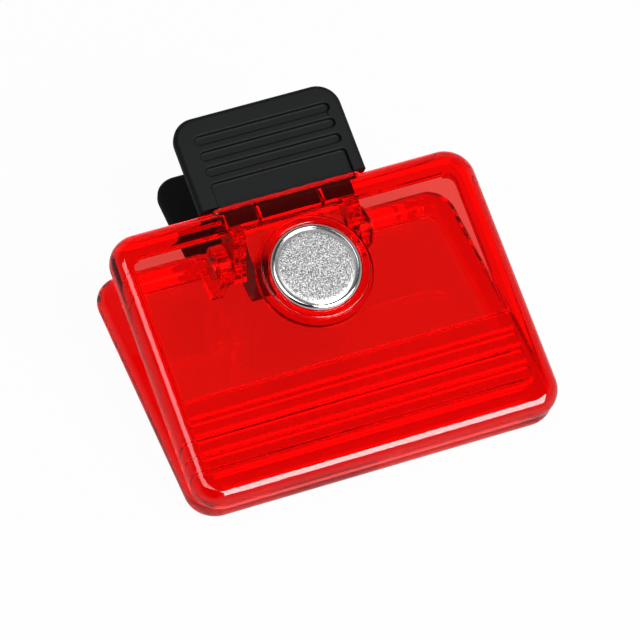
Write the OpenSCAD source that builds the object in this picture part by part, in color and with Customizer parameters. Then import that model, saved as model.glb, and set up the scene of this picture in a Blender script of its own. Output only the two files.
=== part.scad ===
// Magnetic memo clip: two translucent tray-shaped jaws that meet at a gripping edge and
// open like a wedge towards two black finger grips, with a round magnet on the rear jaw.
// It lies on its front jaw with the magnet up. X runs along the hinge, Y points to the
// grips and Z up. All sizes are in millimetres.

/* [Jaws] */
// Width of both jaws along the hinge
jaw_w = 75; // [64:1:90]
// Length of the rear jaw, which carries the magnet
rear_len = 57; // [55:0.5:64]
// Length of the front jaw
front_len = 59.8; // [56:0.2:66]
// How far the front jaw's gripping edge is set back from the rear jaw's
front_setback = 0.8; // [0.5:0.1:1.6]
// Depth of a jaw from its outer face to its rim
jaw_d = 5; // [4.6:0.1:6]
// Thickness of a jaw's outer plate
plate_t = 1.8; // [1.4:0.1:2]
// Radius of a jaw's corners, seen from its face
corner_r = 6; // [5:0.5:9]
// Radius of the outer edge all round a jaw
edge_r = 2.9; // [2.4:0.1:3.2]
// Straight strip between the outer edge and the rounded rim
edge_land = 0.2; // [0.1:0.1:0.6]
// Wall along the two sides
side_wall = 4; // [3.4:0.1:5]
// Wall that carries the grip
top_wall = 5; // [4.4:0.1:6]
// Wall behind the gripping edge
nose_wall = 6.5; // [5:0.5:8]
// Angle between the closed jaws
jaw_angle = 18; // [16:0.5:20]
// Gap left between the closed jaws at the gripping edge
mouth_gap = 0.04; // [0.02:0.01:0.1]

/* [Gripping ribs] */
// Number of ribs across each jaw
rib_count = 3; // [1:1:4]
// Distance from the gripping edge to the first rib
rib_start = 10.4; // [9:0.2:12]
// Distance from one rib to the next
rib_pitch = 3.6; // [2.6:0.2:4]
// Width of a rib
rib_w = 1.4; // [1:0.1:2]
// Height of a rib over the thick part of the plate
rib_h = 1; // [0.5:0.1:1.2]
// Length of the thick part of the plate, from the gripping edge
land_len = 21.5; // [19:0.5:24]
// Extra thickness of the plate there
land_t = 0.8; // [0.4:0.1:1]

/* [Grips] */
// Width of a grip
grip_w = 34.4; // [32:0.2:40]
// Thickness of a grip
grip_t = 3; // [2.4:0.1:3.2]
// How far the rear grip stands out past its jaw
rear_grip_out = 20; // [18:0.5:26]
// How far the front grip stands out past its jaw
front_grip_out = 20.1; // [18:0.1:26]
// How far a grip's outer face lies below the jaw's outer face
grip_drop = 1.7; // [1.5:0.1:1.9]
// Radius of a grip's corners, seen from its face
grip_corner_r = 4.7; // [3:0.1:6]
// Radius of a grip's edges
grip_edge_r = 1.1; // [0.6:0.1:1.1]
// How deep a grip's body sits in its jaw's wall
grip_seat = 1.2; // [1:0.1:1.8]
// How deep the tongue reaches into its jaw's wall
tongue_in = 4; // [3.4:0.1:4.2]
// Width of the tongue that plugs into the jaw
tongue_w = 26; // [22:0.2:28]
// Thickness of the tongue
tongue_t = 1.9; // [1.4:0.1:2]
// Clearance round the grip's body and tongue in the jaw
grip_clearance = 0.06; // [0.04:0.01:0.12]
// Distance between the two webs that divide the tongue's slot
web_pitch = 13; // [11:0.5:15]
// Thickness of a web
web_t = 1; // [0.8:0.1:1.4]

/* [Finger grooves] */
// Number of grooves across a grip
groove_count = 3; // [1:1:3]
// Overall length of a groove
groove_len = 29; // [24:0.5:30]
// Width of a groove
groove_w = 2.1; // [1.6:0.1:2.4]
// Depth of a groove and of the recess below it
groove_depth = 0.5; // [0.3:0.1:0.7]
// Distance from the grip's end to the middle of the first groove
groove_start = 5.1; // [4:0.1:6]
// Distance from one groove to the next
groove_pitch = 3.3; // [2.8:0.1:3.6]

/* [Magnet] */
// Diameter of the magnet's cup
magnet_d = 18; // [16:0.5:20]
// Height of the magnet's cup
magnet_t = 3.2; // [2.8:0.1:3.6]
// How far the magnet stands out of the jaw
magnet_proud = 0.9; // [0.7:0.1:1.2]
// Distance from the rear jaw's gripping edge to the magnet's middle
magnet_place = 40; // [38:0.5:41]
// Wall of the magnet's cup
cup_wall = 1; // [0.8:0.1:1.4]
// Floor of the magnet's cup
cup_floor = 0.8; // [0.6:0.1:1]
// Radius of the cup's lower edge
cup_foot_r = 0.1; // [0.05:0.05:0.2]
// Radius of the cup's shoulder
cup_shoulder_r = 0.9; // [0.5:0.1:0.9]
// Clearance round the magnet in its pocket, and round the core in the cup
magnet_clearance = 0.05; // [0.03:0.01:0.1]
// Width of the raised collar round the magnet
collar_w = 1.55; // [1.2:0.05:2]
// Height of the raised collar
collar_h = 0.45; // [0.3:0.05:0.6]
// Wall of the pocket's boss inside the jaw
boss_wall = 2.35; // [1.8:0.05:2.5]
// Floor under the magnet
boss_floor = 1.2; // [1:0.1:1.4]

/* [Hinge] */
// Distance to the hinge from the line where the planes of the two rims meet
hinge_reach = 47.7; // [47:0.1:48.4]
// Diameter of a hinge pin
pin_d = 3; // [2.4:0.1:3.4]
// Diameter of a hinge pin's head
pin_head_d = 4.6; // [4:0.1:5.4]
// Thickness of a hinge pin's head
pin_head_t = 0.8; // [0.6:0.1:1.2]
// Radial clearance of a pin in the rear jaw's ears, where it turns
pin_running_clearance = 0.05; // [0.03:0.01:0.09]
// Radial clearance of a pin in the front jaw's ears, where it is pressed in
pin_press_clearance = 0.01; // [0.01:0.005:0.02]
// How far a pin stands out of the rear jaw's ear
pin_overhang = 0.5; // [0.2:0.1:0.8]
// Thickness of a hinge ear
ear_t = 2.6; // [2:0.1:3]
// Radius of an ear's round end
ear_r = 4.2; // [3.6:0.1:4.8]
// Half the width of an ear's foot on the plate
ear_foot = 5.6; // [5:0.1:6]
// Side clearance between the two ears of a pair
ear_gap = 0.2; // [0.1:0.05:0.4]
// Distance between the rear jaw's two ears
ear_inside = 21; // [20:0.5:24]
// Length of each of the two long recesses in the front jaw's rim beside the ears
recess_len = 3.5; // [3:0.1:4]
// Width of a recess
recess_w = 2.2; // [1.8:0.1:2.6]
// Depth of a recess
recess_depth = 0.9; // [0.5:0.1:1]
// Distance between the middles of the two recesses
recess_pitch = 31; // [30:0.2:40]
// Distance from the jaw's edge at the grip to a recess's middle
recess_in = 3.6; // [3.2:0.1:3.8]

/* [Spring] */
// Width of the spring's steel strip
spring_w = 20; // [16:0.5:20.2]
// Thickness of the strip
spring_t = 0.5; // [0.4:0.1:0.6]
// How far the spring's web lies before the hinge
spring_back = 7.4; // [6:0.1:8]
// Height of the spring's flat web
spring_web = 6; // [4:0.5:7]
// Inner radius of the spring's two bends
spring_bend_r = 2.4; // [2:0.1:2.8]
// How far a leg's end reaches past the front jaw's wall
spring_reach = 7; // [5:0.5:9]
// Gap between a leg's end and the grip that it presses
spring_seat_gap = 0.15; // [0.1:0.05:0.25]
// Width and height of the stop on a grip behind the spring's end
stop_size = 1; // [0.8:0.1:1.2]

/* [Hidden] */
$fn = 64;

// Overlap that makes a cut or a join clean
cut = 0.5;
// Radius of the rim, the side where the jaws face each other
rim_r = jaw_d - edge_r - edge_land;
// Heights in a jaw's own frame: the rim's plane is 0 and the outer face is jaw_d
plate_in = jaw_d - plate_t;
rib_in = plate_in - land_t - rib_h;
grip_out = jaw_d - grip_drop;
grip_in = grip_out - grip_t;
tongue_low = (grip_in + plate_in - tongue_t) / 2;
pocket_floor = jaw_d + magnet_proud - magnet_t;
boss_in = pocket_floor - boss_floor;
pocket_r = magnet_d / 2 + magnet_clearance;
core_r = magnet_d / 2 - cup_wall - magnet_clearance;
// How far the rear jaw comes down until its rim meets the front jaw's rounded edge
mouth_drop = ((front_setback + rim_r) * sin(jaw_angle) + rim_r * cos(jaw_angle) - rim_r - mouth_gap)
    / cos(jaw_angle);
// The line where the planes of the two rims meet, along the front jaw and along the rear jaw
wedge_front = mouth_drop / tan(jaw_angle);
wedge_rear = mouth_drop / sin(jaw_angle);
// The hinge axis in each jaw's own frame
front_hinge_s = wedge_front + hinge_reach * cos(jaw_angle / 2);
rear_hinge_s = wedge_rear + hinge_reach * cos(jaw_angle / 2);
hinge_n = -hinge_reach * sin(jaw_angle / 2);
rear_ear_x = ear_inside / 2;
front_ear_x = rear_ear_x + ear_t + ear_gap;
pin_inner_x = rear_ear_x - pin_overhang;
pin_outer_x = front_ear_x + ear_t;
// Where the whole clip begins and ends along Y, to set the origin under its middle
mouth_y = edge_r * cos(jaw_angle) - (jaw_d - edge_r) * sin(jaw_angle) - edge_r;
front_end_y = front_setback + front_len + front_grip_out;
middle_y = (mouth_y + front_end_y) / 2;
// The leaf spring in the frame midway between the jaws
spring_tip_s = front_setback + front_len + spring_reach - wedge_front;
grip_face_n = spring_tip_s * tan(jaw_angle / 2) + grip_in / cos(jaw_angle / 2);
spring_tip_n = grip_face_n - spring_seat_gap - spring_t;
spring_bend_s = hinge_reach - spring_back + spring_t + spring_bend_r;
spring_bend_n = spring_web / 2;
spring_run = spring_tip_s - spring_bend_s;
spring_rise = spring_tip_n - spring_bend_n;
spring_hyp = sqrt(spring_run * spring_run + spring_rise * spring_rise);
leg_angle = atan2(spring_rise, spring_run) - asin(spring_bend_r / spring_hyp);
leg_len = sqrt(spring_hyp * spring_hyp - spring_bend_r * spring_bend_r);
// Steps round each bend of the spring
bend_steps = 12;
// Where the stops stand, along a jaw from the line where the rims' planes meet
stop_s = spring_tip_s * cos(jaw_angle / 2) + grip_face_n * sin(jaw_angle / 2) + spring_seat_gap;

// Placing

// From the gripping line's frame to the part's frame
module on_middle() {
    translate([0, -middle_y, 0]) children();
}

// A jaw's own frame, with its outer face up, laid on its face as the front jaw
module as_front() {
    on_middle() translate([0, 0, jaw_d]) mirror([0, 0, 1]) children();
}

// The same frame as the rear jaw: over the front jaw and leaning back
module as_rear() {
    on_middle() translate([0, 0, jaw_d - mouth_drop]) rotate([jaw_angle, 0, 0]) children();
}

// The frame midway between the jaws
module as_midway() {
    on_middle() translate([0, wedge_front, jaw_d]) rotate([jaw_angle / 2, 0, 0]) children();
}

// The same shape on both sides of the middle
module both_sides() {
    for (side = [0, 1]) mirror([side, 0, 0]) children();
}

// A shape drawn with X along the jaw and Y outwards, made thick along the hinge from x to x + t
module across(x, t) {
    translate([x, 0, 0]) rotate([90, 0, 90]) linear_extrude(t) children();
}

// Shapes

// Rectangle from [0, 0] with all four corners round
module round_rect(size, r) {
    translate([r, 0]) square([size[0] - 2 * r, size[1]]);
    translate([0, r]) square([size[0], size[1] - 2 * r]);
    for (x = [r, size[0] - r], y = [r, size[1] - r]) translate([x, y]) circle(r);
}

// Slot outline from [0, 0] with two round ends
module slot_outline(len, w) {
    translate([w / 2, 0]) square([len - w, w]);
    for (x = [w / 2, len - w / 2]) translate([x, w / 2]) circle(d = w);
}

// Quarter of a disc with its square corner at [0, 0], towards +X and +Y
module quarter(r) {
    intersection() {
        circle(r);
        square(r);
    }
}

// Section through a slab: bottom edges of radius low_r, top edges of radius high_r
module slab_section(len, d, low_r, high_r) {
    translate([0, low_r]) square([len, d - low_r - high_r]);
    translate([low_r, 0]) square([len - 2 * low_r, d - high_r]);
    translate([high_r, low_r]) square([len - 2 * high_r, d - low_r]);
    for (side = [0, 1]) translate([side * len, 0]) mirror([side, 0]) {
        translate([low_r, low_r]) rotate(180) quarter(low_r);
        translate([high_r, d - high_r]) rotate(90) quarter(high_r);
    }
}

// Slab with round corners and round edges, centred on X, from y = 0
module soft_slab(w, len, d, r, low_r, high_r) {
    translate([r - w / 2, 0, 0]) across(0, w - 2 * r) slab_section(len, d, low_r, high_r);
    translate([0, len - r, 0]) rotate([90, 0, 0]) linear_extrude(len - 2 * r)
        translate([-w / 2, 0]) slab_section(w, d, low_r, high_r);
    for (turn = [0 : 3]) {
        x = (turn == 0 || turn == 3) ? w / 2 - r : r - w / 2;
        y = turn < 2 ? len - r : r;
        translate([x, y, 0]) rotate([0, 0, 90 * turn]) rotate_extrude(angle = 90)
            intersection() {
                translate([-r, 0]) slab_section(2 * r, d, low_r, high_r);
                square([r, d]);
            }
    }
}

// Jaws

// Outer body of a jaw with its inner space cut out, and the ribs across it
module tray(len) {
    space_w = jaw_w - 2 * side_wall;
    space_len = len - nose_wall - top_wall;
    space_r = corner_r - side_wall;
    difference() {
        soft_slab(jaw_w, len, jaw_d, corner_r, rim_r, edge_r);
        translate([-space_w / 2, nose_wall, -cut]) linear_extrude(plate_in + cut)
            round_rect([space_w, space_len], space_r);
    }
    translate([-space_w / 2 - cut, nose_wall - cut, plate_in - land_t])
        cube([space_w + 2 * cut, land_len - nose_wall + cut, land_t + cut]);
    for (i = [0 : rib_count - 1])
        translate([-space_w / 2 - cut, rib_start + i * rib_pitch - rib_w / 2, rib_in])
            cube([space_w + 2 * cut, rib_w, plate_in - rib_in + cut]);
}

// Room that a grip's body and its three-part tongue take up in the wall, grown by a clearance
module grip_root(len, clearance) {
    seat_y = len - grip_seat;
    translate([-grip_w / 2 - clearance, seat_y - clearance, grip_in - clearance])
        cube([grip_w + 2 * clearance, grip_seat + clearance + cut, grip_t + 2 * clearance]);
    difference() {
        translate([-tongue_w / 2 - clearance, len - tongue_in - clearance, tongue_low - clearance])
            cube([tongue_w + 2 * clearance, tongue_in + clearance, tongue_t + 2 * clearance]);
        for (x = [-web_pitch / 2, web_pitch / 2])
            translate([x - web_t / 2 + clearance, len - tongue_in - cut, grip_in - cut])
                cube([web_t - 2 * clearance, tongue_in - grip_seat + cut - clearance, grip_t + 2 * cut]);
    }
}

// Side view of a hinge ear: a round end at the hinge on a foot that widens to the plate
module ear_side(hinge_s) {
    translate([hinge_s, hinge_n]) circle(ear_r);
    polygon([
        [hinge_s - ear_r, hinge_n],
        [hinge_s + ear_r, hinge_n],
        [hinge_s + ear_foot, plate_in + cut],
        [hinge_s - ear_foot, plate_in + cut]
    ]);
}

// A pair of ears whose inner faces are at x and -x, with a bore for the pins
module ears(x, hinge_s, bore_r) {
    both_sides() across(x, ear_t) difference() {
        ear_side(hinge_s);
        translate([hinge_s, hinge_n]) circle(bore_r);
    }
}

module front_jaw() {
    color([0.85, 0.06, 0.05, 0.7]) as_front() difference() {
        union() {
            translate([0, front_setback, 0]) tray(front_len);
            ears(front_ear_x, front_hinge_s, pin_d / 2 + pin_press_clearance);
        }
        translate([0, front_setback, 0]) {
            grip_root(front_len, grip_clearance);
            both_sides()
                translate([(recess_pitch - recess_len) / 2, front_len - recess_in - recess_w / 2, -cut])
                linear_extrude(recess_depth + cut) slot_outline(recess_len, recess_w);
        }
    }
}

module rear_jaw() {
    color([0.85, 0.06, 0.05, 0.7]) as_rear() difference() {
        union() {
            tray(rear_len);
            ears(rear_ear_x, rear_hinge_s, pin_d / 2 + pin_running_clearance);
            translate([0, magnet_place, boss_in])
                cylinder(r = pocket_r + boss_wall, h = jaw_d - boss_in - cut);
            translate([0, magnet_place, plate_in])
                cylinder(r = pocket_r + collar_w, h = plate_t + collar_h);
        }
        grip_root(rear_len, grip_clearance);
        translate([0, magnet_place, pocket_floor]) cylinder(r = pocket_r, h = magnet_t);
    }
}

// Grips

// A grip in its jaw's own frame, for a jaw of length len, with the spring's stop at stop_y
module grip(len, out, stop_y) {
    seat_y = len - grip_seat;
    body_len = out + grip_seat;
    groove_y = len + out - groove_start - groove_w / 2;
    panel_y = groove_y - groove_count * groove_pitch + groove_w;
    difference() {
        union() {
            difference() {
                translate([0, seat_y - grip_corner_r, grip_in])
                    soft_slab(grip_w, body_len + grip_corner_r, grip_t, grip_corner_r,
                              grip_edge_r, grip_edge_r);
                translate([-grip_w, seat_y - 2 * grip_corner_r, grip_in - cut])
                    cube([2 * grip_w, 2 * grip_corner_r, grip_t + 2 * cut]);
            }
            grip_root(len, 0);
            translate([-spring_w / 2, stop_y, grip_in - stop_size])
                cube([spring_w, stop_size, stop_size + cut]);
        }
        for (i = [0 : groove_count - 1])
            translate([-groove_len / 2, groove_y - i * groove_pitch, grip_out - groove_depth])
                linear_extrude(groove_depth + cut) slot_outline(groove_len, groove_w);
        translate([-groove_len / 2, seat_y - cut, grip_out - groove_depth])
            cube([groove_len, panel_y - seat_y + cut, groove_depth + cut]);
    }
}

module front_grip() {
    color([0.13, 0.14, 0.15]) as_front() translate([0, front_setback, 0])
        grip(front_len, front_grip_out, wedge_front + stop_s - front_setback);
}

module rear_grip() {
    color([0.13, 0.14, 0.15]) as_rear()
        grip(rear_len, rear_grip_out, wedge_rear + stop_s);
}

// Magnet

// The magnet's own place: on the pocket's floor
module in_pocket() {
    as_rear() translate([0, magnet_place, pocket_floor]) children();
}

module magnet_cup() {
    color([0.78, 0.78, 0.8]) in_pocket() difference() {
        rotate_extrude() intersection() {
            translate([-magnet_d / 2, 0]) slab_section(magnet_d, magnet_t, cup_foot_r, cup_shoulder_r);
            square([magnet_d / 2, magnet_t]);
        }
        translate([0, 0, cup_floor]) cylinder(r = core_r + magnet_clearance, h = magnet_t);
    }
}

module magnet_core() {
    color([0.62, 0.62, 0.63]) in_pocket() translate([0, 0, cup_floor])
        cylinder(r = core_r, h = magnet_t - cup_floor);
}

// Hinge pins and spring

// A pin through one pair of ears, with its head on the outer ear
module hinge_pin() {
    color([0.7, 0.71, 0.73]) as_midway() translate([0, hinge_reach, 0]) rotate([0, 90, 0]) {
        translate([0, 0, pin_inner_x])
            cylinder(d = pin_d, h = pin_outer_x - pin_inner_x + pin_head_t);
        translate([0, 0, pin_outer_x]) cylinder(d = pin_head_d, h = pin_head_t);
    }
}

module hinge_pin_right() {
    hinge_pin();
}

module hinge_pin_left() {
    mirror([1, 0, 0]) hinge_pin();
}

// Upper half of the spring's side view at radius r in its bend: from the web round to the leg's end
function spring_half(r) = concat(
    [for (i = [0 : bend_steps])
        let (turn = 180 - i / bend_steps * (90 - leg_angle))
        [spring_bend_s + r * cos(turn), spring_bend_n + r * sin(turn)]],
    [[spring_bend_s - r * sin(leg_angle) + leg_len * cos(leg_angle),
      spring_bend_n + r * cos(leg_angle) + leg_len * sin(leg_angle)]]
);

// The same points from the last to the first
function backwards(points) = [for (i = [len(points) - 1 : -1 : 0]) points[i]];

// The same points on the other side of the middle
function mirrored(points) = [for (p = points) [p[0], -p[1]]];

module leaf_spring() {
    outer = spring_half(spring_bend_r + spring_t);
    inner = spring_half(spring_bend_r);
    color([0.2, 0.2, 0.23]) as_midway() across(-spring_w / 2, spring_w)
        polygon(concat(backwards(mirrored(outer)), outer, backwards(inner), mirrored(inner)));
}

front_jaw();
rear_jaw();
front_grip();
rear_grip();
magnet_cup();
magnet_core();
hinge_pin_left();
hinge_pin_right();
leaf_spring();
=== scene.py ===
"""Magnetic memo clip: two translucent red jaws, two black finger grips, a round plated magnet,
two hinge pins and a leaf spring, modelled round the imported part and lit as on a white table."""

from math import asin, atan2, cos, degrees, hypot, pi, radians, sin, tan

import bmesh
import bpy
from mathutils import Matrix, Vector

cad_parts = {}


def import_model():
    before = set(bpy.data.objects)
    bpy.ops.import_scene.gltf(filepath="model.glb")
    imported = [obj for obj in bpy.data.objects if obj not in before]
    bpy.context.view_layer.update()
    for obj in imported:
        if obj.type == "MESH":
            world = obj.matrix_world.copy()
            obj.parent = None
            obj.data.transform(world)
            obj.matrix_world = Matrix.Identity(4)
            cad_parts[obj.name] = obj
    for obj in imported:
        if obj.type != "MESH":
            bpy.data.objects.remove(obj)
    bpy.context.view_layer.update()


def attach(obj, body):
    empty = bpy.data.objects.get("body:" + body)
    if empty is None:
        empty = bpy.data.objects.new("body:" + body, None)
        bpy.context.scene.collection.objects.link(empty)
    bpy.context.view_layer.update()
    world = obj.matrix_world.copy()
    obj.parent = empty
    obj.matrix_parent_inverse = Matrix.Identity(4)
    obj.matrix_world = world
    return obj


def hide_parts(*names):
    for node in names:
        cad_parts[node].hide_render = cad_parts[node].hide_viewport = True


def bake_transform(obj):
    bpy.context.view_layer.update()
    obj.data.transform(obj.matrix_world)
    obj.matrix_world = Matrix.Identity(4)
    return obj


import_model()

# Sizes of the clip in millimetres; Blender's own unit is the metre
MM = 0.001

JAW_W = 75.0
REAR_LEN = 57.0
FRONT_LEN = 59.8
FRONT_SETBACK = 0.8
JAW_D = 5.0
PLATE_T = 1.8
CORNER_R = 6.0
EDGE_R = 2.9
RIM_R = 1.9
SIDE_WALL = 4.0
TOP_WALL = 5.0
NOSE_WALL = 6.5
SPACE_CORNER_R = 2.0
SPACE_FILLET = 0.35
RIM_FILLET = 0.15
RIM_SWEEP = 3.0
RIM_SWEEP_IN = 2.0
RIM_SWEEP_IN_H = 1.6
JAW_ANGLE = radians(18)
MOUTH_GAP = 0.04

RIB_COUNT = 3
RIB_START = 10.4
RIB_PITCH = 3.6
RIB_W = 1.4
RIB_H = 0.7
LAND_LEN = 21.5
LAND_T = 0.8

GRIP_W = 34.4
GRIP_T = 3.0
REAR_GRIP_OUT = 20.0
FRONT_GRIP_OUT = 20.1
GRIP_DROP = 1.7
GRIP_CORNER_R = 4.7
GRIP_EDGE_R = 1.1
GRIP_SEAT = 1.2
GRIP_CLEARANCE = 0.06
TONGUE_IN = 4.0
TONGUE_W = 26.0
TONGUE_T = 1.9
TONGUE_EDGE_R = 0.2
WEB_PITCH = 13.0
WEB_T = 1.0
GROOVE_COUNT = 3
GROOVE_LEN = 27.8
GROOVE_SHIFT = 0.6
GROOVE_W = 1.9
GROOVE_DEPTH = 0.85
GROOVE_START = 5.1
GROOVE_PITCH = 3.38
GROOVE_LIP = 0.3
GROOVE_FOOT_R = 0.35
PANEL_CORNER_R = 0.8
PARTING_W = 0.14
PARTING_DEPTH = 0.07
PARTING_UP = 1.2
NECK_W = 29.0
SHOULDER_GAP = 0.7
LIP_W = 30.8
LIP_OUT = 0.3
LIP_DROP = 0.32
LIP_R = 1.2

MAGNET_D = 18.0
MAGNET_T = 3.2
MAGNET_PROUD = 0.9
MAGNET_PLACE = 40.0
CUP_WALL = 1.0
CUP_FLOOR = 0.8
CUP_SHOULDER_R = 0.9
CUP_FOOT_R = 0.1
CUP_LIP = 0.08
CORE_DROP = 0.06
CORE_FALL_R = 2.6
CORE_FALL_ANGLE = 55
MAGNET_CLEARANCE = 0.05
COLLAR_W = 1.55
COLLAR_H = 0.45
COLLAR_EDGE_R = 0.35
POCKET_MOUTH_R = 0.3
BOSS_WALL = 2.35
BOSS_FLOOR = 1.2
BOSS_FOOT_R = 0.12

HINGE_REACH = 47.7
PIN_R = 1.5
PIN_HEAD_R = 2.3
PIN_HEAD_T = 0.8
PIN_OVERHANG = 0.5
PIN_CHAMFER = 0.25
PIN_DOME_R = 0.3
PIN_RUNNING_CLEARANCE = 0.05
PIN_PRESS_CLEARANCE = 0.01
EAR_T = 2.6
EAR_R = 4.2
EAR_FOOT = 5.6
EAR_RAKE = 0.8
EAR_GAP = 0.2
EAR_INSIDE = 21.0
EAR_EDGE_R = 0.25
RECESS_LEN = 3.5
RECESS_W = 2.2
RECESS_DEPTH = 0.9
RECESS_PITCH = 31.0
RECESS_IN = 3.6
RECESS_EDGE_R = 0.4

SPRING_W = 20.0
SPRING_T = 0.5
SPRING_BACK = 7.4
SPRING_WEB = 6.0
SPRING_BEND_R = 2.4
SPRING_REACH = 7.0
SPRING_SEAT_GAP = 0.15
SPRING_EDGE_R = 0.1
STOP_SIZE = 1.0
STOP_EDGE_R = 0.25

# Where the strip begins to flex, above its bend, and how far on it moves fully with the rear jaw;
# the script works out these two points but uses them no further
FLEX_N = 5.4
FLEX_RUN = 1.58
FLEX_RISE = 4.44

# A jaw's own frame has s along the jaw from its mouth and n up from its rim's plane to JAW_D
PLATE_IN = JAW_D - PLATE_T
LAND_IN = PLATE_IN - LAND_T
RIB_IN = LAND_IN - RIB_H
GRIP_OUT = JAW_D - GRIP_DROP
GRIP_IN = GRIP_OUT - GRIP_T
TONGUE_LOW = (GRIP_IN + PLATE_IN - TONGUE_T) / 2
NECK_OUT = GRIP_OUT - GROOVE_DEPTH
POCKET_FLOOR = JAW_D + MAGNET_PROUD - MAGNET_T
POCKET_R = MAGNET_D / 2 + MAGNET_CLEARANCE
CORE_R = MAGNET_D / 2 - CUP_WALL - MAGNET_CLEARANCE

# How far the rear jaw comes down on the front jaw, and where the planes of the rims meet
MOUTH_DROP = ((FRONT_SETBACK + RIM_R) * sin(JAW_ANGLE) + RIM_R * cos(JAW_ANGLE)
              - RIM_R - MOUTH_GAP) / cos(JAW_ANGLE)
WEDGE_FRONT = MOUTH_DROP / tan(JAW_ANGLE)
WEDGE_REAR = MOUTH_DROP / sin(JAW_ANGLE)
HALF_ANGLE = JAW_ANGLE / 2
FRONT_HINGE_S = WEDGE_FRONT + HINGE_REACH * cos(HALF_ANGLE)
REAR_HINGE_S = WEDGE_REAR + HINGE_REACH * cos(HALF_ANGLE)
HINGE_N = -HINGE_REACH * sin(HALF_ANGLE)
REAR_EAR_X = EAR_INSIDE / 2
FRONT_EAR_X = REAR_EAR_X + EAR_T + EAR_GAP

# The middle of the whole clip along Y, which is the origin
MOUTH_Y = EDGE_R * cos(JAW_ANGLE) - (JAW_D - EDGE_R) * sin(JAW_ANGLE) - EDGE_R
MIDDLE_Y = (MOUTH_Y + FRONT_SETBACK + FRONT_LEN + FRONT_GRIP_OUT) / 2

# The spring in the frame midway between the jaws
SPRING_TIP_S = FRONT_SETBACK + FRONT_LEN + SPRING_REACH - WEDGE_FRONT
GRIP_FACE_N = SPRING_TIP_S * tan(HALF_ANGLE) + GRIP_IN / cos(HALF_ANGLE)
SPRING_BEND_S = HINGE_REACH - SPRING_BACK + SPRING_T + SPRING_BEND_R
SPRING_BEND_N = SPRING_WEB / 2
SPRING_RUN = SPRING_TIP_S - SPRING_BEND_S
SPRING_RISE = GRIP_FACE_N - SPRING_SEAT_GAP - SPRING_T - SPRING_BEND_N
LEG_ANGLE = (atan2(SPRING_RISE, SPRING_RUN)
             - asin(SPRING_BEND_R / hypot(SPRING_RUN, SPRING_RISE)))
LEG_LEN = (hypot(SPRING_RUN, SPRING_RISE) ** 2 - SPRING_BEND_R ** 2) ** 0.5
STOP_S = (SPRING_TIP_S * cos(HALF_ANGLE) + GRIP_FACE_N * sin(HALF_ANGLE) + SPRING_SEAT_GAP)

# Room that a cutter or a joined piece reaches past what it meets
SPARE = 0.6

# Two places closer than this are the same
NEAR = 0.01

# A full round stays just short of the middle, so that no edge shrinks to nothing
FULL_ROUND = 0.999

# Faces that meet at less than this angle shade as one curve
SMOOTH_ANGLE = radians(32)

# Modelling

def deselect_all():
    if bpy.context.mode != "OBJECT":
        bpy.ops.object.mode_set(mode="OBJECT")
    bpy.ops.object.select_all(action="DESELECT")


def activate(piece):
    deselect_all()
    piece.select_set(True)
    bpy.context.view_layer.objects.active = piece


def edit(piece):
    activate(piece)
    bpy.ops.object.mode_set(mode="EDIT")
    bpy.ops.mesh.select_all(action="DESELECT")


def done():
    bpy.ops.object.mode_set(mode="OBJECT")
    return bpy.context.object


def pick_edges(piece, test):
    """Selects the edges whose two ends, in millimetres, pass the test."""
    bpy.ops.mesh.select_mode(type="EDGE")
    shape = bmesh.from_edit_mesh(piece.data)
    for edge in shape.edges:
        a, b = (v.co / MM for v in edge.verts)
        edge.select_set(bool(test(a, b)))
    shape.select_flush_mode()
    bmesh.update_edit_mesh(piece.data)


def pick_faces(piece, test):
    """Selects the faces whose middle, in millimetres, passes the test."""
    bpy.ops.mesh.select_mode(type="FACE")
    shape = bmesh.from_edit_mesh(piece.data)
    for face in shape.faces:
        face.select_set(bool(test(face.calc_center_median() / MM)))
    shape.select_flush_mode()
    bmesh.update_edit_mesh(piece.data)


def round_edges(piece, radius, steps, test):
    """Rounds the edges that pass the test, in so many steps."""
    edit(piece)
    pick_edges(piece, test)
    bpy.ops.mesh.bevel(offset=radius * MM, segments=steps, affect="EDGES", clamp_overlap=False)
    done()


def block(name, low, high):
    """A cuboid between two corners."""
    deselect_all()
    low, high = Vector(low), Vector(high)
    bpy.ops.mesh.primitive_cube_add(size=1, location=(low + high) / 2 * MM)
    piece = bpy.context.object
    piece.scale = (high - low) * MM
    bpy.ops.object.transform_apply(location=True, rotation=True, scale=True)
    piece.name = name
    return piece


def draw(name, points):
    """A line through the points, one edge after another, left open for editing."""
    deselect_all()
    points = [Vector(p) for p in points]
    bpy.ops.mesh.primitive_plane_add(size=MM, location=points[0] * MM)
    bpy.ops.object.transform_apply(location=True, rotation=True, scale=True)
    piece = bpy.context.object
    piece.name = name
    bpy.ops.object.mode_set(mode="EDIT")
    bpy.ops.mesh.select_mode(type="VERT")
    bpy.ops.mesh.select_all(action="SELECT")
    bpy.ops.mesh.merge(type="CENTER")
    for here, there in zip(points, points[1:]):
        bpy.ops.mesh.extrude_vertices_move(TRANSFORM_OT_translate={"value": (there - here) * MM})
    bpy.ops.mesh.select_all(action="SELECT")
    return piece


def prism(name, points, along):
    """An outline filled and drawn out into a solid."""
    piece = draw(name, points)
    bpy.ops.mesh.edge_face_add()
    bpy.ops.mesh.extrude_region_move(TRANSFORM_OT_translate={"value": Vector(along) * MM})
    bpy.ops.mesh.select_all(action="SELECT")
    bpy.ops.mesh.normals_make_consistent(inside=False)
    return done()


def turned(name, points, centre, axis, steps):
    """An outline from the axis back to the axis, turned on a lathe."""
    piece = draw(name, points)
    bpy.ops.mesh.spin(steps=steps, angle=2 * pi, center=Vector(centre) * MM, axis=axis)
    bpy.ops.mesh.select_all(action="SELECT")
    bpy.ops.mesh.remove_doubles(threshold=NEAR * MM / 10)
    bpy.ops.mesh.normals_make_consistent(inside=False)
    return done()


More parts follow.
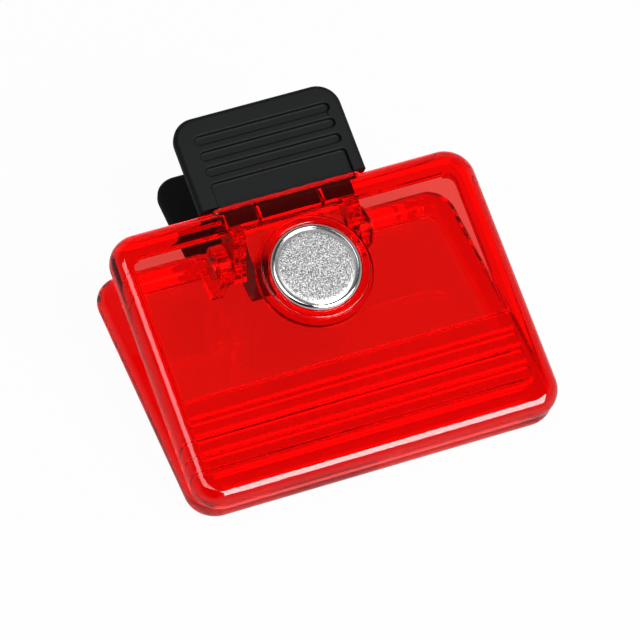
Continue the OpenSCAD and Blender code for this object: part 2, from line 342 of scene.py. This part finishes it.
def arc(centre, radius, start, end, steps):
    """Points of an arc in a plane, from one angle to another in degrees."""
    turns = [radians(start + (end - start) * i / steps) for i in range(steps + 1)]
    return [(centre[0] + radius * cos(t), centre[1] + radius * sin(t)) for t in turns]


def combine(piece, tool, operation):
    """Cuts a tool's shape out of a piece, or joins it to the piece, and clears the tool away."""
    activate(piece)
    step = piece.modifiers.new("shape", "BOOLEAN")
    step.operation = operation
    step.solver = "EXACT"
    step.object = tool
    bpy.ops.object.modifier_apply(modifier=step.name)
    bpy.data.objects.remove(tool)


def cut(piece, *tools):
    for tool in tools:
        combine(piece, tool, "DIFFERENCE")


def join(piece, *tools):
    for tool in tools:
        combine(piece, tool, "UNION")


def place(piece, turn, spot):
    """Turns and moves a finished piece from its own frame into the clip's frame."""
    activate(piece)
    piece.rotation_euler = turn
    piece.location = Vector(spot) * MM
    bpy.ops.object.transform_apply(location=True, rotation=True, scale=True)


def as_front(piece):
    place(piece, (0, pi, 0), (0, -MIDDLE_Y, JAW_D))


def as_rear(piece):
    place(piece, (JAW_ANGLE, 0, 0), (0, -MIDDLE_Y, JAW_D - MOUTH_DROP))


def as_midway(piece):
    place(piece, (HALF_ANGLE, 0, 0), (0, WEDGE_FRONT - MIDDLE_Y, JAW_D))


def smooth(piece):
    """Smooth shading on the curves, with the flats kept flat."""
    activate(piece)
    bpy.ops.object.shade_smooth_by_angle(angle=SMOOTH_ANGLE)
    step = piece.modifiers.new("flats", "WEIGHTED_NORMAL")
    step.keep_sharp = True
    step.weight = 100
    bpy.ops.object.modifier_apply(modifier=step.name)


def finish_piece(piece, material, body, node):
    """The piece's finish, the body that it moves with, and the solid that it stands for."""
    piece.data.materials.clear()
    piece.data.materials.append(material)
    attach(piece, body)
    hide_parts(node)


# Jaws

def jaw_blank(name, start, length):
    """A slab with round corners, a well rounded outer edge and a rounded rim."""
    end = start + length
    piece = block(name, (-JAW_W / 2, start, 0), (JAW_W / 2, end, JAW_D))
    round_edges(piece, CORNER_R, steps=14, test=lambda a, b: abs(a.z - b.z) > JAW_D / 2)
    round_edges(piece, EDGE_R, steps=12, test=lambda a, b: min(a.z, b.z) > JAW_D - NEAR)
    round_edges(piece, RIM_R, steps=10, test=lambda a, b: max(a.z, b.z) < NEAR)
    return piece


def jaw_space(start, length):
    """The hollow inside a jaw, with the thick land and its ribs left standing."""
    half = JAW_W / 2 - SIDE_WALL
    low, high = start + NOSE_WALL, start + length - TOP_WALL
    points = [(-half, low, -SPARE), (-half, low, LAND_IN)]
    for i in range(RIB_COUNT):
        rib = start + RIB_START + i * RIB_PITCH
        for s, n in ((rib - RIB_W / 2, LAND_IN), (rib - RIB_W / 2, RIB_IN),
                     (rib + RIB_W / 2, RIB_IN), (rib + RIB_W / 2, LAND_IN)):
            points.append((-half, s, n))
    land_end = start + LAND_LEN
    points += [(-half, land_end, LAND_IN), (-half, land_end, PLATE_IN),
               (-half, high, PLATE_IN), (-half, high, -SPARE)]
    piece = prism("space", points, (2 * half, 0, 0))
    at_ends = lambda s: abs(s - low) < NEAR or abs(s - high) < NEAR
    round_edges(piece, SPACE_CORNER_R, steps=8,
                test=lambda a, b: abs(a.z - b.z) > RIB_H + SPARE and at_ends(a.y) and at_ends(b.y))
    round_edges(piece, SPACE_FILLET, steps=4, test=lambda a, b: min(a.z, b.z) > 0)
    return piece


def ear(x, hinge_s):
    """A hinge ear: a round end on a foot that leans back to the grip's wall."""
    side = 1 if x > 0 else -1
    points = [(hinge_s + EAR_RAKE, PLATE_IN + SPARE)]
    points += arc((hinge_s, HINGE_N), EAR_R, 180, 360, steps=32)
    points += [(hinge_s + EAR_FOOT, PLATE_IN + SPARE)]
    piece = prism("ear", [(x, s, n) for s, n in points], (side * EAR_T, 0, 0))
    round_edges(piece, EAR_EDGE_R, steps=3,
                test=lambda a, b: abs(a.x - b.x) < NEAR and min(a.z, b.z) < PLATE_IN)
    return piece


def bore(x, hinge_s, radius):
    """A pin's bore through an ear."""
    side = 1 if x > 0 else -1
    ends = (x - side * SPARE, x + side * (EAR_T + SPARE))
    spot = (hinge_s, HINGE_N)
    points = [(ends[0], spot[0], spot[1]), (ends[0], spot[0] + radius, spot[1]),
              (ends[1], spot[0] + radius, spot[1]), (ends[1], spot[0], spot[1])]
    return turned("bore", points, (x, spot[0], spot[1]), (1, 0, 0), steps=64)


def tongue_spans(clearance):
    """The left and right sides of a tongue's three parts, with room for the webs between them."""
    web_in, web_out = (WEB_PITCH - WEB_T) / 2 + clearance, (WEB_PITCH + WEB_T) / 2 - clearance
    side = TONGUE_W / 2 + clearance
    return (-side, -web_out), (-web_in, web_in), (web_out, side)


def grip_slot(end):
    """The tools that cut a grip's seat and the three parts of its tongue's slot in the wall."""
    c = GRIP_CLEARANCE
    seat = block("seat", (-NECK_W / 2 - c, end - GRIP_SEAT - c, GRIP_IN - c),
                 (NECK_W / 2 + c, end + SPARE, NECK_OUT + c))
    tools = [seat]
    for left, right in tongue_spans(c):
        tools.append(block("slot", (left, end - TONGUE_IN - c, TONGUE_LOW - c),
                           (right, end - GRIP_SEAT + SPARE, TONGUE_LOW + TONGUE_T + c)))
    return tools


def grip_lip(end):
    """The soft lip of the wall over a grip's neck."""
    half = LIP_W / 2
    piece = block("lip", (-half, end - TOP_WALL + SPARE, NECK_OUT - SPARE),
                  (half, end + LIP_OUT, JAW_D - LIP_DROP))
    round_edges(piece, LIP_R, steps=8,
                test=lambda a, b: abs(a.z - b.z) > NEAR and min(a.y, b.y) > end)
    round_edges(piece, LIP_R, steps=8, test=lambda a, b: min(a.z, b.z) > JAW_D - LIP_DROP - NEAR
                and max(a.y, b.y) > end - TOP_WALL + SPARE + NEAR)
    return piece


def slot_block(length, width, low, high):
    """A bar with two round ends, lying along X on the origin."""
    piece = block("bar", (-length / 2, -width / 2, low), (length / 2, width / 2, high))
    round_edges(piece, width / 2 * FULL_ROUND, steps=10, test=lambda a, b: abs(a.z - b.z) > NEAR)
    return piece


def shift(piece, spot):
    place(piece, (0, 0, 0), spot)
    return piece


def rim_sweep(end):
    """Two tools that give the rim under the grip's wall a long soft curve to each side."""
    rise, fall, inner = JAW_D - EDGE_R, RIM_SWEEP_IN_H, end - TOP_WALL
    turn = [radians(a) for a in range(0, 91, 5)]
    outside = [(end + SPARE, -SPARE), (end + SPARE, rise)]
    outside += [(end - RIM_SWEEP * (1 - cos(t)), rise * (1 - sin(t))) for t in turn]
    outside += [(end - RIM_SWEEP, -SPARE)]
    within = [(inner - SPARE, -SPARE), (inner - SPARE, fall)]
    within += [(inner + RIM_SWEEP_IN * (1 - cos(t)), fall * (1 - sin(t))) for t in turn]
    within += [(inner + RIM_SWEEP_IN, -SPARE)]
    tools = []
    straight = JAW_W / 2 - SIDE_WALL - SPACE_CORNER_R
    for points, half in ((outside, JAW_W / 2 + SPARE), (within, straight)):
        tools.append(prism("sweep", [(-half, s, n) for s, n in points], (2 * half, 0, 0)))
    return tools


def jaw(name, start, length, ear_x, hinge_s, bore_r):
    """A jaw with its hollow, ears and grip slot, in its own frame."""
    piece = jaw_blank(name, start, length)
    cut(piece, jaw_space(start, length))
    half = JAW_W / 2 - SIDE_WALL + NEAR
    low, high = start + NOSE_WALL - NEAR, start + length - TOP_WALL + NEAR
    inside = lambda p: abs(p.z) < NEAR and abs(p.x) < half and low < p.y < high
    round_edges(piece, RIM_FILLET, steps=3, test=lambda a, b: inside(a) and inside(b))
    cut(piece, *rim_sweep(start + length))
    for x in (ear_x, -ear_x):
        join(piece, ear(x, hinge_s))
    for x in (ear_x, -ear_x):
        cut(piece, bore(x, hinge_s, bore_r))
    join(piece, grip_lip(start + length))
    cut(piece, *grip_slot(start + length))
    return piece


def front_jaw():
    piece = jaw("front_jaw_moulding", FRONT_SETBACK, FRONT_LEN, FRONT_EAR_X, FRONT_HINGE_S,
                PIN_R + PIN_PRESS_CLEARANCE)
    for x in (RECESS_PITCH / 2, -RECESS_PITCH / 2):
        tool = slot_block(RECESS_LEN, RECESS_W, -SPARE, RECESS_DEPTH)
        round_edges(tool, RECESS_EDGE_R, steps=5,
                    test=lambda a, b: min(a.z, b.z) > RECESS_DEPTH - NEAR)
        cut(piece, shift(tool, (x, FRONT_SETBACK + FRONT_LEN - RECESS_IN, 0)))
    smooth(piece)
    as_front(piece)
    return piece


def magnet_round(name, points):
    """A shape turned about the magnet's axis, from points of radius and height."""
    outline = [(r, MAGNET_PLACE, n) for r, n in points]
    return turned(name, outline, (0, MAGNET_PLACE, 0), (0, 0, 1), steps=160)


def rear_jaw():
    piece = jaw("rear_jaw_moulding", 0, REAR_LEN, REAR_EAR_X, REAR_HINGE_S,
                PIN_R + PIN_RUNNING_CLEARANCE)
    boss_r, boss_in = POCKET_R + BOSS_WALL, POCKET_FLOOR - BOSS_FLOOR
    boss_top = JAW_D - SPARE
    foot_spot = (boss_r - BOSS_FOOT_R, boss_in + BOSS_FOOT_R)
    boss = [(0, boss_in)] + arc(foot_spot, BOSS_FOOT_R, 270, 360, steps=5)
    join(piece, magnet_round("boss", boss + [(boss_r, boss_top), (0, boss_top)]))
    collar_r, collar_top = POCKET_R + COLLAR_W, JAW_D + COLLAR_H
    edge_spot = (collar_r - COLLAR_EDGE_R, collar_top - COLLAR_EDGE_R)
    collar = [(0, boss_top - NEAR), (collar_r, boss_top - NEAR)]
    collar += arc(edge_spot, COLLAR_EDGE_R, 0, 90, steps=6) + [(0, collar_top)]
    join(piece, magnet_round("collar", collar))
    mouth_r = POCKET_R + POCKET_MOUTH_R
    pocket = [(0, POCKET_FLOOR), (POCKET_R, POCKET_FLOOR)]
    pocket += arc((mouth_r, collar_top - POCKET_MOUTH_R), POCKET_MOUTH_R, 180, 100, steps=4)
    pocket += [(mouth_r, collar_top + SPARE), (0, collar_top + SPARE)]
    cut(piece, magnet_round("pocket", pocket))
    smooth(piece)
    as_rear(piece)
    return piece


# Grips

def grip(name, end, out, stop_y):
    """A finger grip with grooves, a recessed panel, a tongue and a stop, in its jaw's frame."""
    seat, tip, foot = end - GRIP_SEAT, end + out, end + SHOULDER_GAP
    piece = block(name, (-GRIP_W / 2, foot, GRIP_IN), (GRIP_W / 2, tip, GRIP_OUT))
    round_edges(piece, GRIP_CORNER_R, steps=12,
                test=lambda a, b: abs(a.z - b.z) > NEAR and min(a.y, b.y) > tip - NEAR)
    off_foot = lambda a, b: max(a.y, b.y) > foot + NEAR
    for level in (GRIP_OUT, GRIP_IN):
        round_edges(piece, GRIP_EDGE_R, steps=6, test=lambda a, b: abs(a.z - level) < NEAR
                    and abs(b.z - level) < NEAR and off_foot(a, b))
    parting = GRIP_IN + PARTING_UP
    edit(piece)
    for height in (parting - PARTING_W / 2, parting + PARTING_W / 2):
        bpy.ops.mesh.select_all(action="SELECT")
        bpy.ops.mesh.bisect(plane_co=(0, 0, height * MM), plane_no=(0, 0, 1))
    pick_faces(piece, lambda spot: abs(spot.z - parting) < PARTING_W / 2 and spot.y > foot + NEAR)
    bpy.ops.transform.shrink_fatten(value=-PARTING_DEPTH * MM)
    done()
    first = tip - GROOVE_START
    for i in range(GROOVE_COUNT):
        tool = slot_block(GROOVE_LEN, GROOVE_W, -GROOVE_DEPTH, SPARE)
        round_edges(tool, GROOVE_FOOT_R, steps=4,
                    test=lambda a, b: max(a.z, b.z) < NEAR - GROOVE_DEPTH)
        cut(piece, shift(tool, (GROOVE_SHIFT, first - i * GROOVE_PITCH, GRIP_OUT)))
    panel_top = first - GROOVE_COUNT * GROOVE_PITCH + GROOVE_W / 2
    panel = block("panel", (GROOVE_SHIFT - GROOVE_LEN / 2, foot - SPARE, NECK_OUT),
                  (GROOVE_SHIFT + GROOVE_LEN / 2, panel_top, GRIP_OUT + SPARE))
    round_edges(panel, PANEL_CORNER_R, steps=6,
                test=lambda a, b: abs(a.z - b.z) > NEAR and min(a.y, b.y) > panel_top - NEAR)
    round_edges(panel, GROOVE_FOOT_R, steps=4,
                test=lambda a, b: max(a.z, b.z) < NECK_OUT + NEAR and max(a.y, b.y) > foot)
    cut(piece, panel)
    reach = GROOVE_LEN / 2 + NEAR
    top_edge = lambda p: abs(p.z - GRIP_OUT) < NEAR and abs(p.x - GROOVE_SHIFT) < reach
    round_edges(piece, GROOVE_LIP, steps=4, test=lambda a, b: top_edge(a) and top_edge(b)
                and max(a.y, b.y) > foot + NEAR and max(a.y, b.y) < tip - GROOVE_START + GROOVE_W)
    neck = block("neck", (-NECK_W / 2, seat, GRIP_IN), (NECK_W / 2, foot + SPARE, NECK_OUT - NEAR))
    join(piece, neck)
    for left, right in tongue_spans(0):
        prong = block("prong", (left, end - TONGUE_IN, TONGUE_LOW),
                      (right, seat + SPARE, TONGUE_LOW + TONGUE_T))
        round_edges(prong, TONGUE_EDGE_R, steps=2,
                    test=lambda a, b: max(a.y, b.y) < end - TONGUE_IN + NEAR)
        join(piece, prong)
    stop = block("stop", (-SPRING_W / 2, stop_y, GRIP_IN - STOP_SIZE),
                 (SPRING_W / 2, stop_y + STOP_SIZE, GRIP_IN + SPARE))
    round_edges(stop, STOP_EDGE_R, steps=3,
                test=lambda a, b: max(a.z, b.z) < GRIP_IN - STOP_SIZE + NEAR)
    join(piece, stop)
    smooth(piece)
    return piece


def rear_grip():
    piece = grip("rear_grip_moulding", REAR_LEN, REAR_GRIP_OUT, WEDGE_REAR + STOP_S)
    as_rear(piece)
    return piece


def front_grip():
    piece = grip("front_grip_moulding", FRONT_SETBACK + FRONT_LEN, FRONT_GRIP_OUT,
                 WEDGE_FRONT + STOP_S)
    as_front(piece)
    return piece


# Magnet

def magnet_cup():
    """The plated steel cup: a thin floor, a wall and a full rounded shoulder."""
    outer, inner, top = MAGNET_D / 2, CORE_R + MAGNET_CLEARANCE, MAGNET_T
    shoulder = (outer - CUP_SHOULDER_R, top - CUP_SHOULDER_R)
    points = [(0, 0)] + arc((outer - CUP_FOOT_R, CUP_FOOT_R), CUP_FOOT_R, 270, 360, steps=3)
    points += arc(shoulder, CUP_SHOULDER_R, 0, 90, steps=14)
    points += [(inner + CUP_LIP / 2, top - CUP_LIP / 3), (inner, top - CUP_LIP)]
    points += [(inner, CUP_FLOOR), (0, CUP_FLOOR)]
    piece = magnet_round("magnet_cup_plated", [(r, n + POCKET_FLOOR) for r, n in points])
    smooth(piece)
    as_rear(piece)
    return piece


def magnet_core():
    """The sintered disc in the cup, its face falling away softly at the edge."""
    top = MAGNET_T - CORE_DROP
    fall_spot = (CORE_R - CORE_FALL_R * cos(radians(CORE_FALL_ANGLE)), top - CORE_FALL_R)
    points = [(0, CUP_FLOOR), (CORE_R, CUP_FLOOR)]
    points += arc(fall_spot, CORE_FALL_R, CORE_FALL_ANGLE, 90, steps=12)
    points += [(CORE_R / 2, top), (0, top)]
    piece = magnet_round("magnet_core_sintered", [(r, n + POCKET_FLOOR) for r, n in points])
    smooth(piece)
    as_rear(piece)
    return piece


# Hinge pins and spring

def hinge_pin(name, side):
    """A headed steel pin through one pair of ears."""
    inner, shoulder = REAR_EAR_X - PIN_OVERHANG, FRONT_EAR_X + EAR_T
    end = shoulder + PIN_HEAD_T
    points = [(inner, 0), (inner, PIN_R - PIN_CHAMFER), (inner + PIN_CHAMFER, PIN_R),
              (shoulder, PIN_R), (shoulder, PIN_HEAD_R)]
    points += arc((end - PIN_DOME_R, PIN_HEAD_R - PIN_DOME_R), PIN_DOME_R, 90, 0, steps=4)
    points += [(end, 0)]
    outline = [(side * x, HINGE_REACH + r, 0) for x, r in points]
    piece = turned(name, outline, (0, HINGE_REACH, 0), (1, 0, 0), steps=64)
    smooth(piece)
    as_midway(piece)
    return piece


def leaf_spring():
    """A strip bent twice: a leg, a bend, the web, a bend and the other leg."""
    bend_low = (SPRING_BEND_S, -SPRING_BEND_N)
    middle_r = SPRING_BEND_R + SPRING_T / 2
    turn = 90 - degrees(LEG_ANGLE)
    low_bend = arc(bend_low, middle_r, 180 + turn, 180, steps=16)
    leg = (LEG_LEN * cos(LEG_ANGLE), LEG_LEN * sin(LEG_ANGLE))
    leg_steps = 24
    low_leg = [(low_bend[0][0] + leg[0] * i / leg_steps, low_bend[0][1] - leg[1] * i / leg_steps)
               for i in range(leg_steps, 0, -1)]
    half = low_leg + low_bend
    path = half + [(bend_low[0] - middle_r, 0)] + [(s, -n) for s, n in reversed(half)]
    piece = draw("leaf_spring_strip", [(-SPRING_W / 2, s, n) for s, n in path])
    bpy.ops.mesh.extrude_region_move(TRANSFORM_OT_translate={"value": (SPRING_W * MM, 0, 0)})
    bpy.ops.mesh.select_all(action="SELECT")
    bpy.ops.mesh.normals_make_consistent(inside=False)
    done()
    wall = piece.modifiers.new("thickness", "SOLIDIFY")
    wall.thickness = SPRING_T * MM
    wall.offset = 0
    wall.use_even_offset = True
    activate(piece)
    bpy.ops.object.modifier_apply(modifier=wall.name)
    edge = piece.modifiers.new("edges", "BEVEL")
    edge.width = SPRING_EDGE_R * MM
    edge.segments = 2
    edge.limit_method = "ANGLE"
    edge.angle_limit = radians(60)
    bpy.ops.object.modifier_apply(modifier=edge.name)
    smooth(piece)
    as_midway(piece)
    return piece


def midway(s, n):
    """A point of the frame midway between the jaws, in the clip's frame in metres."""
    turn = Matrix.Rotation(HALF_ANGLE, 3, "X")
    return tuple((turn @ Vector((0, s, n)) + Vector((0, WEDGE_FRONT - MIDDLE_Y, JAW_D))) * MM)


# Finishes

class Value:
    """A node's output that takes part in sums."""

    def __init__(self, finish, socket):
        self.finish = finish
        self.socket = socket

    def sum(self, operation, a, b):
        return self.finish.add("ShaderNodeMath", {"operation": operation}, {0: a, 1: b})

    def __add__(self, other):
        return self.sum("ADD", self, other)

    def __radd__(self, other):
        return self.sum("ADD", other, self)

    def __sub__(self, other):
        return self.sum("SUBTRACT", self, other)

    def __rsub__(self, other):
        return self.sum("SUBTRACT", other, self)

    def __mul__(self, other):
        return self.sum("MULTIPLY", self, other)

    def __rmul__(self, other):
        return self.sum("MULTIPLY", other, self)


class Finish:
    """A material, or the world, built node by node."""

    def __init__(self, owner, output):
        owner.use_nodes = True
        self.owner = owner
        self.tree = owner.node_tree
        self.tree.nodes.clear()
        self.output = self.tree.nodes.new(output)

    def add(self, kind, settings=None, inputs=None, out=0):
        """A node of one kind with its settings, and values or links for its sockets."""
        node = self.tree.nodes.new(kind)
        for key, value in (settings or {}).items():
            if key == "stops":
                ramp = node.color_ramp
                while len(ramp.elements) < len(value):
                    ramp.elements.new(0.5)
                for element, (spot, colour) in zip(ramp.elements, value):
                    element.position = spot
                    element.color = (*colour, 1)
            else:
                setattr(node, key, value)
        for key, value in (inputs or {}).items():
            if isinstance(value, Value):
                self.tree.links.new(value.socket, node.inputs[key])
            else:
                node.inputs[key].default_value = value
        return Value(self, node.outputs[out])

    def end(self, socket, value):
        self.tree.links.new(value.socket, self.output.inputs[socket])

    def coordinates(self):
        return self.add("ShaderNodeTexCoord", out="Object")

    def noise(self, scale, detail=2, roughness=0.5):
        """Soft noise from 0 to 1, with that many waves to the metre."""
        return self.add("ShaderNodeTexNoise", None,
                        {"Vector": self.coordinates(), "Scale": scale, "Detail": detail,
                         "Roughness": roughness})

    def mix(self, factor, a, b):
        """A colour between two colours."""
        return self.add("ShaderNodeMix", {"data_type": "RGBA"}, {0: factor, 6: a, 7: b}, 2)

    def between(self, value, low, high, first=0.0, last=1.0):
        """A soft step from the first number to the last as a value goes from low to high."""
        return self.add("ShaderNodeMapRange", {"interpolation_type": "SMOOTHSTEP"},
                        {"Value": value, "From Min": low, "From Max": high,
                         "To Min": first, "To Max": last})

    def bump(self, height, strength, distance):
        """A normal from a height, whose full rise is a distance in millimetres."""
        return self.add("ShaderNodeBump", None,
                        {"Height": height, "Strength": strength, "Distance": distance * MM})


def material(name):
    return Finish(bpy.data.materials.new(name), "ShaderNodeOutputMaterial")


def red_plastic():
    """Clear red polystyrene with a moulded gloss: the red is in its depth."""
    f = material("red_polystyrene")
    haze = f.noise(90, detail=3)
    ripple = f.bump(f.noise(60, detail=1), strength=0.03, distance=0.1)
    surface = f.add("ShaderNodeBsdfPrincipled", None, {
        "Base Color": (1.0, 0.93, 0.92, 1), "Roughness": 0.015 + haze * 0.03, "IOR": 1.5,
        "Transmission Weight": 1.0, "Normal": ripple})
    depth = f.add("ShaderNodeVolumeAbsorption", None,
                  {"Color": (0.995, 0.07, 0.0, 1), "Density": 1380})
    f.end("Surface", surface)
    f.end("Volume", depth)
    return f.owner


def black_plastic():
    """Matte black moulding with a fine spark-eroded grain."""
    f = material("black_grained")
    grain = f.noise(3800, detail=2, roughness=0.6)
    cloud = f.noise(120, detail=2)
    colour = f.mix(cloud, (0.0028, 0.0033, 0.0035, 1), (0.0045, 0.0052, 0.0055, 1))
    surface = f.add("ShaderNodeBsdfPrincipled", None, {
        "Base Color": colour, "Roughness": 0.48 + grain * 0.16, "IOR": 1.5,
        "Specular IOR Level": 0.14, "Normal": f.bump(grain, strength=0.25, distance=0.03)})
    f.end("Surface", surface)
    return f.owner


def plated_steel():
    """Bright nickel plate with faint handling marks."""
    f = material("bright_nickel")
    marks = f.noise(700, detail=4, roughness=0.7)
    surface = f.add("ShaderNodeBsdfPrincipled", None, {
        "Base Color": f.mix(marks, (0.78, 0.78, 0.78, 1), (0.86, 0.86, 0.87, 1)), "Metallic": 1.0,
        "Roughness": 0.05 + marks * 0.08})
    f.end("Surface", surface)
    return f.owner


def sintered_magnet():
    """Grainy sintered face, dark pits between bright grains, worn bright at its edge."""
    f = material("sintered_grain")
    grain = f.noise(4400, detail=1)
    speck = f.noise(6400, detail=0)
    both = grain * 0.6 + speck * 0.4
    colour = f.add("ShaderNodeValToRGB",
                   {"stops": [(0.36, (0.03, 0.03, 0.03)), (0.46, (0.18, 0.18, 0.18)),
                              (0.54, (0.36, 0.36, 0.36)), (0.62, (0.78, 0.78, 0.78))]}, {0: both})
    middle = Matrix.Rotation(JAW_ANGLE, 3, "X") @ Vector((0, MAGNET_PLACE, 0))
    middle += Vector((0, -MIDDLE_Y, JAW_D - MOUTH_DROP))
    flattened = (1, 1, 1000)
    face = f.add("ShaderNodeMapping", {"vector_type": "TEXTURE"},
                 {"Vector": f.coordinates(), "Location": middle * MM, "Rotation": (JAW_ANGLE, 0, 0),
                  "Scale": flattened})
    radius = f.add("ShaderNodeVectorMath", {"operation": "LENGTH"}, {0: face}, 1)
    ragged, wear_start, wear_end = 1.2 * MM, 7.4 * MM, 8.5 * MM
    worn = f.between(radius + both * ragged, wear_start, wear_end)
    surface = f.add("ShaderNodeBsdfPrincipled", None, {
        "Base Color": f.mix(worn, colour, (0.8, 0.8, 0.8, 1)), "Metallic": 0.6 + worn * 0.4,
        "Roughness": 0.42 + both * 0.2 - worn * 0.3,
        "Normal": f.bump(both * (1 - worn), strength=0.3, distance=0.04)})
    f.end("Surface", surface)
    return f.owner


def drawn_steel():
    """Pin wire with a fine even grain."""
    f = material("drawn_steel")
    grain = f.noise(1500, detail=3)
    surface = f.add("ShaderNodeBsdfPrincipled", None, {
        "Base Color": f.mix(grain, (0.5, 0.5, 0.52, 1), (0.66, 0.66, 0.67, 1)), "Metallic": 1.0,
        "Roughness": 0.22 + grain * 0.15})
    f.end("Surface", surface)
    return f.owner


def spring_steel():
    """Plated spring strip with a faint cloud, darker at its bend."""
    f = material("plated_spring")
    cloud = f.noise(220, detail=4, roughness=0.6)
    along = f.add("ShaderNodeSeparateXYZ", None, {0: f.coordinates()}, 1)
    ragged, bend_end, leg_start = 1.0 * MM, 3.5 * MM, 5.5 * MM
    bright = f.between(along + cloud * ragged, bend_end, leg_start)
    plated = f.mix(cloud, (0.44, 0.44, 0.45, 1), (0.54, 0.54, 0.55, 1))
    surface = f.add("ShaderNodeBsdfPrincipled", None, {
        "Base Color": f.mix(bright, (0.11, 0.11, 0.115, 1), plated), "Metallic": 1.0,
        "Roughness": 0.3 + cloud * 0.2})
    f.end("Surface", surface)
    return f.owner


# Build

RED = red_plastic()
BLACK = black_plastic()
finish_piece(front_jaw(), RED, "front", "front_jaw")
finish_piece(rear_jaw(), RED, "rear", "rear_jaw")
finish_piece(front_grip(), BLACK, "front", "front_grip")
finish_piece(rear_grip(), BLACK, "rear", "rear_grip")
finish_piece(magnet_cup(), plated_steel(), "rear", "magnet_cup")
finish_piece(magnet_core(), sintered_magnet(), "rear", "magnet_core")
STEEL = drawn_steel()
finish_piece(hinge_pin("hinge_pin_left_turned", -1), STEEL, "front", "hinge_pin_left")
finish_piece(hinge_pin("hinge_pin_right_turned", 1), STEEL, "front", "hinge_pin_right")

strip = leaf_spring()
strip.data.materials.append(spring_steel())
flex_start = midway(SPRING_BEND_S, FLEX_N)
flex_end = midway(SPRING_BEND_S + FLEX_RUN, FLEX_N + FLEX_RISE)
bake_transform(strip)
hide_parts("leaf_spring")

# Table, light and camera

# The table's size and its gap under the clip, in metres
TABLE_SIZE = 6
TABLE_GAP = 0.00005

# How often a ray may turn inside the clear plastic
BOUNCES = 48

# How much of plain white the table shows to each kind of ray
CAMERA_LIFT = 0.97
PLASTIC_LIFT = 0.68
MIRROR_LIFT = 0.03


def table():
    """A pale table: lifted to white for the camera, but for a trace of the clip's shadow, and
    towards white where it shows through the plastic."""
    deselect_all()
    bpy.ops.mesh.primitive_plane_add(size=TABLE_SIZE, location=(0, 0, -TABLE_GAP))
    floor = bpy.context.object
    floor.name = "table_top"
    f = material("white_table")
    seen = f.add("ShaderNodeLightPath", out="Is Camera Ray")
    glossy = f.add("ShaderNodeLightPath", out="Is Glossy Ray")
    through = f.add("ShaderNodeLightPath", out="Is Transmission Ray")
    mirrored = glossy * (1 - through)
    white = f.add("ShaderNodeEmission", None, {"Color": (1, 1, 1, 1), "Strength": 1.0})
    paint = f.add("ShaderNodeBsdfDiffuse", None, {"Color": (0.4, 0.4, 0.4, 1)})
    lift = seen * CAMERA_LIFT + through * PLASTIC_LIFT + mirrored * MIRROR_LIFT
    f.end("Surface", f.add("ShaderNodeMixShader", None, {0: lift, 1: paint, 2: white}))
    floor.data.materials.append(f.owner)


def world():
    """Studio grey round the sides, dark overhead and behind the camera's left shoulder. The camera
    sees white, and the plastic shows a pale grey."""
    sky = bpy.data.worlds.new("studio")
    bpy.context.scene.world = sky
    f = Finish(sky, "ShaderNodeOutputWorld")
    way = f.add("ShaderNodeTexCoord", out="Generated")
    height = f.add("ShaderNodeSeparateXYZ", None, {0: way}, 2)
    sides = f.add("ShaderNodeValToRGB",
                  {"stops": [(0.0, (0.4, 0.4, 0.4)), (0.5, (0.3, 0.3, 0.3)),
                             (0.85, (0.04, 0.04, 0.04))]}, {0: height})
    shoulder = Vector((-0.45, -0.63, 0.63)).normalized()
    towards = f.add("ShaderNodeVectorMath", {"operation": "DOT_PRODUCT"}, {0: way, 1: shoulder}, 1)
    card = f.between(towards, 0.84, 0.95, first=1.0, last=0.06)
    shade = f.add("ShaderNodeMix", {"data_type": "RGBA", "blend_type": "MULTIPLY"},
                  {0: 1.0, 6: sides, 7: card}, 2)
    through = f.add("ShaderNodeLightPath", out="Is Transmission Ray")
    seen = f.add("ShaderNodeLightPath", out="Is Camera Ray")
    colour = f.mix(seen, f.mix(through, shade, (0.74, 0.74, 0.74, 1)), (1, 1, 1, 1))
    f.end("Surface", f.add("ShaderNodeBackground", None, {"Color": colour, "Strength": 1.0}))


def lamp(name, direction, distance, along, size, power):
    """A soft box that faces the clip, its first side along the way given."""
    light = bpy.data.lights.new(name, "AREA")
    light.shape = "RECTANGLE"
    light.size, light.size_y = size
    light.energy = power
    obj = bpy.data.objects.new(name, light)
    bpy.context.scene.collection.objects.link(obj)
    away = Vector(direction).normalized()
    side = (Vector(along) - away * away.dot(Vector(along))).normalized()
    turn = Matrix((side, away.cross(side), away)).transposed().to_4x4()
    obj.matrix_world = Matrix.Translation(away * distance) @ turn


def camera():
    """The photograph's view, fitted to the clip's outline."""
    data = bpy.data.cameras.new("view")
    data.sensor_width = 36
    data.lens = 253.21
    obj = bpy.data.objects.new("view", data)
    bpy.context.scene.collection.objects.link(obj)
    right = Vector((0.92933, -0.366931, 0.041321))
    down = Vector((-0.262626, -0.73549, -0.624566))
    ahead = Vector((0.259563, 0.569576, -0.779878))
    turn = Matrix((right, -down, -ahead)).transposed().to_4x4()
    spot = Vector((-225.156, -500.96, 685.87)) * MM
    obj.matrix_world = Matrix.Translation(spot) @ turn
    bpy.context.scene.camera = obj


table()
world()
lamp("front_right", direction=(0.34, -0.6, 0.7), distance=1.2, along=(1, 0, 0),
     size=(0.68, 0.75), power=23)
lamp("overhead_left", direction=(-0.2, -0.13, 1.0), distance=1.2, along=(0, 1, 0),
     size=(0.55, 0.6), power=5.0)
camera()
scene = bpy.context.scene
scene.view_settings.view_transform = "Standard"
scene.cycles.max_bounces = BOUNCES
scene.cycles.transmission_bounces = BOUNCES
scene.cycles.glossy_bounces = BOUNCES
